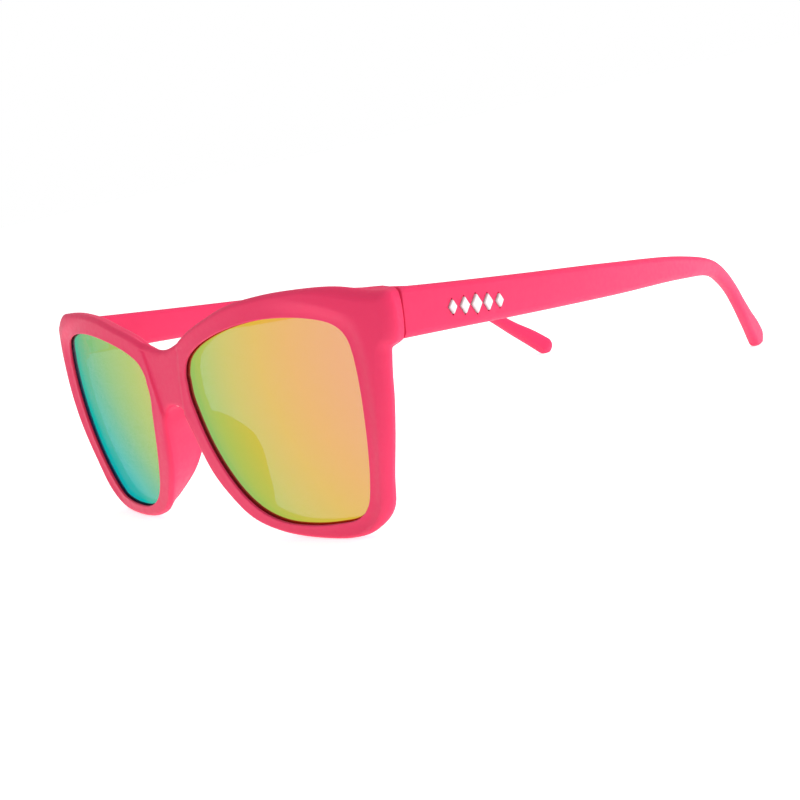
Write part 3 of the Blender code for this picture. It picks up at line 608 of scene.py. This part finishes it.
def temple_sections():
    """Section after section along the temple: centre, its up direction, height and thickness."""
    table = curve_through(TEMPLE_STATIONS, TEMPLE_STEPS)
    path = table[:, :2]
    along = np.gradient(path, axis=0)
    along /= np.linalg.norm(along, axis=1)[:, None]
    along[0] = (1.0, 0.0)
    sections = [
        (p, (-d[1], d[0]), h, t) for p, d, h, t in zip(path, along, table[:, 2], table[:, 3])
    ]
    end, direction, height, thickness = path[-1], along[-1], table[-1, 2], table[-1, 3]
    for step in range(1, TIP_STEPS):
        turn = math.pi / 2 * step / TIP_STEPS
        centre = end + direction * (0.5 * height * math.sin(turn))
        shrink = math.cos(turn)
        up = (-direction[1], direction[0])
        sections.append((centre, up, height * shrink, thickness * (0.45 + 0.55 * shrink)))
    return sections


def section_outline(height, thickness):
    """A rounded rectangle, as (across, up) pairs."""
    radius = min(TEMPLE_EDGE_RADIUS, 0.45 * height, 0.45 * thickness)
    points = []
    for corner in range(4):
        sign_x = (1, -1, -1, 1)[corner]
        sign_y = (1, 1, -1, -1)[corner]
        for step in range(CORNER_STEPS + 1):
            turn = math.pi / 2 * (corner + step / CORNER_STEPS)
            x = sign_x * (thickness / 2 - radius) + radius * math.cos(turn)
            y = sign_y * (height / 2 - radius) + radius * math.sin(turn)
            points.append((x, y))
    return points


def temple_mesh(root):
    """A loft through the sections. The seam end has a small rounded edge."""
    bm = bmesh.new()
    rings = []
    sections = temple_sections()
    centre, up, height, thickness = sections[0]
    starts = [(centre, up, height - 2 * inset, thickness - 2 * inset, SEAM_GAP + back)
              for inset, back in ((0.2, 0.0), (0.06, 0.06), (0.0, 0.2))]
    sections = starts + [section + (0.0,) for section in sections[1:]]
    for centre, up, height, thickness, shift in sections:
        behind = max(centre[0], 0.0)
        full = thickness if centre[0] > 0 else TEMPLE_STATIONS[0][3]
        middle_x = temple_outer_x(behind) - full / 2 - PIVOT_X
        ring = []
        for across, rise in section_outline(height, thickness):
            y = centre[0] + up[0] * rise - PIVOT_BEHIND_SEAM + shift
            z = centre[1] + up[1] * rise
            ring.append(bm.verts.new((middle_x + across, y, z)))
        rings.append(ring)
    count = len(rings[0])
    for near, far in zip(rings[:-1], rings[1:]):
        for i in range(count):
            after = (i + 1) % count
            bm.faces.new((near[i], near[after], far[after], far[i]))
    bm.faces.new(rings[0])
    bm.faces.new(rings[-1])
    bmesh.ops.recalc_face_normals(bm, faces=bm.faces)
    return finish_mesh("temple_arm_left", bm, root)


def pin_places():
    """Distance behind the seam and size share of each lozenge pin."""
    middle = (PIN_COUNT - 1) / 2
    for number in range(PIN_COUNT):
        step = number - middle
        yield PIN_ROW_CENTRE + step * PIN_PITCH, 1.0 - PIN_SHRINK * abs(step)


def temple_cutter(root, hinge):
    """The pockets of the temple: the hinge leaf's, open at the seam, and one for each lozenge pin."""
    bm = bmesh.new()
    half = HINGE_HALF_HEIGHT + LEAF_GAP
    inner = temple_outer_x(0.0) - TEMPLE_STATIONS[0][3] - PIVOT_X
    floor_x = inner + 0.2 + LEAF_GAP
    end = TEMPLE_LEAF_END - PIVOT_BEHIND_SEAM + LEAF_GAP
    made = box_into(bm, (inner - 4, -4, -half), (floor_x, end, half))
    bmesh.ops.transform(bm, matrix=root.inverted() @ hinge, verts=made)
    for behind, share in pin_places():
        low, high = -PIN_SUNK - PIN_GAP, 1.0
        made = bmesh.ops.create_cone(
            bm, cap_ends=True, segments=4, radius1=1, radius2=1, depth=high - low
        )["verts"]
        half_width = PIN_HALF_WIDTH * share + PIN_GAP
        half_height = PIN_HALF_HEIGHT * share + PIN_GAP * PIN_HALF_HEIGHT / PIN_HALF_WIDTH
        bmesh.ops.scale(bm, vec=(half_height, half_width, 1), verts=made)
        bmesh.ops.translate(bm, vec=(0, 0, (low + high) / 2), verts=made)
        slope = (temple_outer_x(behind + 1) - temple_outer_x(behind - 1)) / 2
        turn = Matrix.Rotation(-math.atan(slope), 3, "Z") @ Matrix.Rotation(math.pi / 2, 3, "Y")
        bmesh.ops.rotate(bm, matrix=turn, cent=(0, 0, 0), verts=made)
        place = (temple_outer_x(behind) - PIVOT_X, behind - PIVOT_BEHIND_SEAM, 0.0)
        bmesh.ops.translate(bm, vec=place, verts=made)
    return finish_mesh("temple_cutter", bm, root)


# ---------------------------------------------------------------- materials


class Nodes:
    """A small helper that adds and links shader nodes of one material."""

    def __init__(self, name):
        self.material = bpy.data.materials.new(name)
        self.material.use_nodes = True
        self.tree = self.material.node_tree
        self.tree.nodes.clear()

    def add(self, kind, settings=None, **inputs):
        node = self.tree.nodes.new(kind)
        for key, value in (settings or {}).items():
            setattr(node, key, value)
        for key, value in inputs.items():
            self.put(node, key.replace("_", " "), value)
        return node

    def put(self, node, key, value):
        socket = node.inputs[int(key)] if key.isdigit() else node.inputs[key]
        if isinstance(value, bpy.types.NodeSocket):
            self.tree.links.new(value, socket)
        else:
            socket.default_value = value

    def ramp(self, factor, stops):
        node = self.add("ShaderNodeValToRGB")
        self.tree.links.new(factor, node.inputs["Fac"])
        ramp = node.color_ramp
        while len(ramp.elements) < len(stops):
            ramp.elements.new(0.5)
        for element, (place, colour) in zip(ramp.elements, stops):
            element.position = place
            element.color = (*colour, 1.0)
        return node.outputs["Color"]

    def rescale(self, value, low, high, to_low, to_high):
        """Maps low to high onto to_low to to_high, and stays at the nearer end outside."""
        node = self.add("ShaderNodeMapRange", Value=value)
        for socket, number in zip(node.inputs[1:5], (low, high, to_low, to_high)):
            socket.default_value = number
        return node.outputs["Result"]

    def finish(self, shader):
        output = self.add("ShaderNodeOutputMaterial")
        self.tree.links.new(shader, output.inputs["Surface"])
        return self.material


def from_screen(red, green, blue):
    """A colour given as 0 to 255 screen values, as linear light."""
    return tuple(
        value / 12.92 if value <= 0.04045 else ((value + 0.055) / 1.055) ** 2.4
        for value in (red / 255, green / 255, blue / 255)
    )


def pink_plastic():
    """Soft-touch matt plastic: slow colour drift, a fine grain and pointed edges painted paler as a
    highlight.
    """
    made = Nodes("soft_touch_pink")
    place = made.add("ShaderNodeTexCoord").outputs["Object"]
    drift = made.add("ShaderNodeTexNoise", Vector=place, Scale=38.0, Detail=3.0, Roughness=0.55)
    grain = made.add("ShaderNodeTexNoise", Vector=place, Scale=2600.0, Detail=4.0, Roughness=0.6)
    speck = made.add("ShaderNodeTexNoise", Vector=place, Scale=900.0, Detail=2.0, Roughness=0.5)
    base = made.ramp(drift.outputs["Fac"], (
        (0.3, (0.85, 0.025, 0.116)), (0.5, (0.865, 0.027, 0.122)), (0.7, (0.88, 0.030, 0.128)),
    ))
    # Painted highlight: where the surface is more pointed, at its edges, the colour is mixed up to a
    # quarter of the way towards a paler pink, standing in for light catching the edges.
    edge = made.add("ShaderNodeNewGeometry").outputs["Pointiness"]
    painted_edge_highlight = made.rescale(edge, 0.51, 0.56, 0.0, 0.25)
    pale = made.add("ShaderNodeMix", {"data_type": "RGBA"})
    made.put(pale, "0", painted_edge_highlight)
    made.put(pale, "6", base)
    pale.inputs[7].default_value = (0.92, 0.085, 0.20, 1.0)
    rough = made.rescale(speck.outputs["Fac"], 0.3, 0.7, 0.46, 0.56)
    bump = made.add("ShaderNodeBump", Strength=0.12, Distance=0.00004, Height=grain.outputs["Fac"])
    wide = made.add("ShaderNodeBump", Strength=0.05, Distance=0.0002, Height=speck.outputs["Fac"])
    made.put(wide, "Normal", bump.outputs["Normal"])
    shader = made.add("ShaderNodeBsdfPrincipled", Normal=wide.outputs["Normal"])
    made.put(shader, "Base Color", pale.outputs[2])
    made.put(shader, "Roughness", rough)
    made.put(shader, "Specular IOR Level", 0.4)
    made.put(shader, "Subsurface Weight", 0.08)
    made.put(shader, "Subsurface Radius", (1.0, 0.25, 0.3))
    made.put(shader, "Subsurface Scale", 0.002)
    return made.finish(shader.outputs["BSDF"])


def coated_lens():
    """The coated front: its interference colour follows the viewing angle, and some light passes."""
    made = Nodes("mirror_coating")
    place = made.add("ShaderNodeTexCoord").outputs["Object"]
    facing = made.add("ShaderNodeLayerWeight", Blend=0.5).outputs["Facing"]
    uneven = made.add("ShaderNodeTexNoise", Vector=place, Scale=30.0, Detail=2.0)
    above_middle = made.add("ShaderNodeMath", {"operation": "ADD"})
    made.put(above_middle, "0", made.add("ShaderNodeSeparateXYZ", Vector=place).outputs["Z"])
    above_middle.inputs[1].default_value = COATING_MIDDLE
    steep = made.rescale(facing, 0.5, 0.75, 0.0, COATING_SLOPE)
    thicker_low = made.add("ShaderNodeMath", {"operation": "MULTIPLY_ADD"})
    made.put(thicker_low, "0", above_middle.outputs["Value"])
    made.put(thicker_low, "1", steep)
    made.put(thicker_low, "2", facing)
    shift = made.add("ShaderNodeMath", {"operation": "MULTIPLY_ADD"})
    made.put(shift, "0", uneven.outputs["Fac"])
    shift.inputs[1].default_value = 0.02
    made.put(shift, "2", thicker_low.outputs["Value"])
    stops = []
    for angle, screen in LENS_COLOURS:
        light = from_screen(*screen)
        mirrored_part = [max(c - t, 0.0) / STUDIO_GLOSS for c, t in zip(light, LENS_PASSES)]
        stops.append((angle, mirrored_part))
    colour = made.ramp(shift.outputs["Value"], stops)
    mirror = made.add("ShaderNodeBsdfGlossy", Roughness=0.0)
    made.put(mirror, "Color", colour)
    inside = made.add("ShaderNodeBsdfGlossy", Roughness=0.0)
    made.put(inside, "Color", (0.12, 0.10, 0.10, 1.0))
    sides = made.add("ShaderNodeMixShader")
    made.put(sides, "0", made.add("ShaderNodeNewGeometry").outputs["Backfacing"])
    made.put(sides, "1", mirror.outputs["BSDF"])
    made.put(sides, "2", inside.outputs["BSDF"])
    through = made.add("ShaderNodeBsdfTransparent")
    made.put(through, "Color", (*(t / LENS_TINT for t in LENS_PASSES), 1.0))
    both = made.add("ShaderNodeAddShader")
    made.put(both, "0", sides.outputs["Shader"])
    made.put(both, "1", through.outputs["BSDF"])
    return made.finish(both.outputs["Shader"])


def plain_lens():
    """The back of the lens: smoke tint with a faint clear reflection."""
    made = Nodes("lens_back")
    place = made.add("ShaderNodeTexCoord").outputs["Object"]
    clouds = made.add("ShaderNodeTexNoise", Vector=place, Scale=25.0, Detail=2.0)
    tint = made.ramp(clouds.outputs["Fac"], (
        (0.3, (LENS_TINT - 0.01,) * 3), (0.7, (LENS_TINT + 0.01,) * 3),
    ))
    through = made.add("ShaderNodeBsdfTransparent")
    made.put(through, "Color", tint)
    gloss = made.add("ShaderNodeBsdfGlossy", Roughness=0.0)
    made.put(gloss, "Color", (0.9, 0.9, 0.9, 1.0))
    facing = made.add("ShaderNodeLayerWeight", Blend=0.5).outputs["Facing"]
    share = made.rescale(facing, 0.4, 1.0, 0.03, 0.4)
    mix = made.add("ShaderNodeMixShader")
    made.put(mix, "0", share)
    made.put(mix, "1", through.outputs["BSDF"])
    made.put(mix, "2", gloss.outputs["BSDF"])
    return made.finish(mix.outputs["Shader"])


def hinge_steel():
    """Brushed steel: fine lines along the leaf, uneven roughness and a soft bump."""
    made = Nodes("hinge_steel")
    place = made.add("ShaderNodeTexCoord").outputs["Object"]
    stretch = made.add("ShaderNodeMapping", Vector=place)
    stretch.inputs["Scale"].default_value = (1.0, 0.06, 1.0)
    lines = made.add("ShaderNodeTexNoise", Scale=5200.0, Detail=3.0)
    made.put(lines, "Vector", stretch.outputs["Vector"])
    tone = made.ramp(lines.outputs["Fac"], (
        (0.3, (0.50, 0.50, 0.52)), (0.7, (0.66, 0.66, 0.67)),
    ))
    rough = made.rescale(lines.outputs["Fac"], 0.3, 0.7, 0.25, 0.4)
    bump = made.add("ShaderNodeBump", Strength=0.15, Distance=0.00003, Height=lines.outputs["Fac"])
    shader = made.add("ShaderNodeBsdfPrincipled", Metallic=1.0, Normal=bump.outputs["Normal"])
    made.put(shader, "Base Color", tone)
    made.put(shader, "Roughness", rough)
    return made.finish(shader.outputs["BSDF"])


def white_accent():
    """Satin white plastic with a faint mottling."""
    made = Nodes("white_accent")
    place = made.add("ShaderNodeTexCoord").outputs["Object"]
    cloud = made.add("ShaderNodeTexNoise", Vector=place, Scale=700.0, Detail=3.0)
    tone = made.ramp(cloud.outputs["Fac"], (
        (0.3, (0.80, 0.80, 0.81)), (0.7, (0.88, 0.88, 0.88)),
    ))
    bump = made.add("ShaderNodeBump", Strength=0.1, Distance=0.00003, Height=cloud.outputs["Fac"])
    shader = made.add("ShaderNodeBsdfPrincipled", Roughness=0.35, Normal=bump.outputs["Normal"])
    made.put(shader, "Base Color", tone)
    return made.finish(shader.outputs["BSDF"])


def studio_floor():
    """Plain white paper with the faintest unevenness."""
    made = Nodes("paper")
    place = made.add("ShaderNodeTexCoord").outputs["Object"]
    cloud = made.add("ShaderNodeTexNoise", Vector=place, Scale=3.0, Detail=2.0)
    tone = made.ramp(cloud.outputs["Fac"], (
        (0.3, (0.93, 0.93, 0.93)), (0.7, (0.95, 0.95, 0.95)),
    ))
    shader = made.add("ShaderNodeBsdfPrincipled", Roughness=0.9)
    made.put(shader, "Base Color", tone)
    made.put(shader, "Specular IOR Level", 0.1)
    shader.inputs["Emission Color"].default_value = (1.0, 1.0, 1.0, 1.0)
    shader.inputs["Emission Strength"].default_value = FLOOR_GLOW
    mirrored_tone = made.add("ShaderNodeEmission", Strength=STUDIO_GLOSS)
    mix = made.add("ShaderNodeMixShader")
    made.put(mix, "0", made.add("ShaderNodeLightPath").outputs["Is Singular Ray"])
    made.put(mix, "1", shader.outputs["BSDF"])
    made.put(mix, "2", mirrored_tone.outputs["Emission"])
    return made.finish(mix.outputs["Shader"])


# ---------------------------------------------------------------- the object


def build_object(nodes):
    """Makes the fine pieces, ties each to its body and dresses the CAD solids that stay."""
    lean = Matrix.Rotation(REST_LEAN, 4, "X")
    design = lean @ Matrix.Translation((0, -BRIDGE_FACE_Y, -BRIDGE_FACE_Z))
    pivot_y = SEAM_Y + PIVOT_BEHIND_SEAM * math.cos(TEMPLE_DROP)
    pivot_z = HINGE_Z - PIVOT_BEHIND_SEAM * math.sin(TEMPLE_DROP)
    root = design @ Matrix.Translation((PIVOT_X, pivot_y, pivot_z)) @ Matrix.Rotation(-TEMPLE_DROP, 4, "X")
    hinge = root @ Matrix.Rotation(-HINGE_CANT, 4, "Y")

    pink = pink_plastic()
    front = front_mesh(design)
    for side in (1, -1):
        cut_away(front, front_hinge_cutter(hinge, side))
    for vert in front.data.vertices:
        vert.co.z = max(vert.co.z, TABLE_Z * MM)
    front.data.materials.append(pink)
    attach(front, "front")
    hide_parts("front_frame")

    left_lens = lens_mesh(design)
    lens_skins = (coated_lens(), plain_lens(), plain_lens())
    for skin in lens_skins:
        left_lens.data.materials.append(skin)
    right_lens = mirrored(left_lens, "mirrored_lens_right")
    for lens, node in ((left_lens, "lens_left"), (right_lens, "lens_right")):
        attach(lens, "front")
        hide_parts(node)

    left_arm = temple_mesh(root)
    cut_away(left_arm, temple_cutter(root, hinge))
    for vert in left_arm.data.vertices:
        vert.co.z = max(vert.co.z, TABLE_Z * MM)
    left_arm.data.materials.append(pink)
    right_arm = mirrored(left_arm, "temple_arm_right")
    for arm, word in ((left_arm, "left"), (right_arm, "right")):
        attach(arm, f"temple_{word}")
        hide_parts(f"temple_{word}")

    steel, white = hinge_steel(), white_accent()
    for name, node in nodes.items():
        if "leaf" in name or "screw" in name:
            dress(node, steel, STEEL_BEVEL)
        if "pin" in name:
            dress(node, white, 0.0)


def dress(node, material, bevel_width):
    """Gives a CAD node its material and, where asked, softly broken edges."""
    node.data.materials.clear()
    node.data.materials.append(material)
    if bevel_width:
        weld = node.modifiers.new("weld", "WELD")
        weld.merge_threshold = WELD_DISTANCE * MM
        bevel = node.modifiers.new("broken_edges", "BEVEL")
        bevel.width = bevel_width * MM
        bevel.segments = 2
        bevel.limit_method = "ANGLE"
        bevel.angle_limit = math.radians(40)
        bevel.harden_normals = True


# ---------------------------------------------------------------- the studio


def soft_light(name, place, aim, size, power):
    """A round lamp that lights the object but isn't itself seen in a reflection."""
    light = bpy.data.lights.new(name, "AREA")
    light.shape = "DISK"
    light.size = size
    light.energy = power
    obj = bpy.data.objects.new(name, light)
    bpy.context.scene.collection.objects.link(obj)
    obj.location = place
    obj.rotation_euler = (Vector(aim) - Vector(place)).to_track_quat("-Z", "Y").to_euler()
    obj.visible_glossy = False


def studio_world():
    """White where the camera looks, and softer where it lights the object."""
    world = bpy.data.worlds.new("studio")
    world.use_nodes = True
    tree = world.node_tree
    background = tree.nodes["Background"]
    background.inputs["Color"].default_value = (1.0, 1.0, 1.0, 1.0)
    rays = tree.nodes.new("ShaderNodeLightPath")
    strength = None
    extras = (
        ("Is Camera Ray", 1.0 - STUDIO_DIFFUSE),
        ("Is Singular Ray", STUDIO_GLOSS - STUDIO_DIFFUSE),
    )
    for ray, extra in extras:
        add = tree.nodes.new("ShaderNodeMath")
        add.operation = "MULTIPLY_ADD"
        add.inputs[1].default_value = extra
        add.inputs[2].default_value = STUDIO_DIFFUSE
        tree.links.new(rays.outputs[ray], add.inputs[0])
        if strength:
            tree.links.new(strength, add.inputs[2])
        strength = add.outputs["Value"]
    tree.links.new(strength, background.inputs["Strength"])
    bpy.context.scene.world = world


def build_studio():
    """White floor, white surroundings, two soft lamps and the camera."""
    bpy.context.scene.view_settings.view_transform = "Standard"
    studio_world()
    bm = bmesh.new()
    bmesh.ops.create_grid(bm, x_segments=40, y_segments=40, size=FLOOR_SIZE)
    floor = finish_mesh("studio_floor", bm, Matrix.Translation((0, FLOOR_CENTRE_Y, TABLE_Z)))
    floor.data.materials.append(studio_floor())

    soft_light("key", KEY_LIGHT, KEY_AIM, KEY_SIZE, KEY_POWER)
    soft_light("top", TOP_LIGHT, TOP_AIM, TOP_SIZE, TOP_POWER)

    camera = bpy.data.cameras.new("camera")
    camera.lens = CAMERA_LENS
    camera.sensor_width = CAMERA_SENSOR
    camera.clip_start = 0.01
    camera_object = bpy.data.objects.new("camera", camera)
    bpy.context.scene.collection.objects.link(camera_object)
    camera_object.location = CAMERA_PLACE
    camera_object.rotation_euler = Euler([math.radians(turn) for turn in CAMERA_TURN])
    bpy.context.scene.camera = camera_object


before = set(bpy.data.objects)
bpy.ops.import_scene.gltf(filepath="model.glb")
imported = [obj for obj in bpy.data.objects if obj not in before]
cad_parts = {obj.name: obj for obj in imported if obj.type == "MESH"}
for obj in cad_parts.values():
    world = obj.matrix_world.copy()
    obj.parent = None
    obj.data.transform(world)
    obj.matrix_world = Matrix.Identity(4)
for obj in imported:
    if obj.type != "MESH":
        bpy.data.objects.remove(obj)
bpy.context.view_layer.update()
build_object(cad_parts)
build_studio()
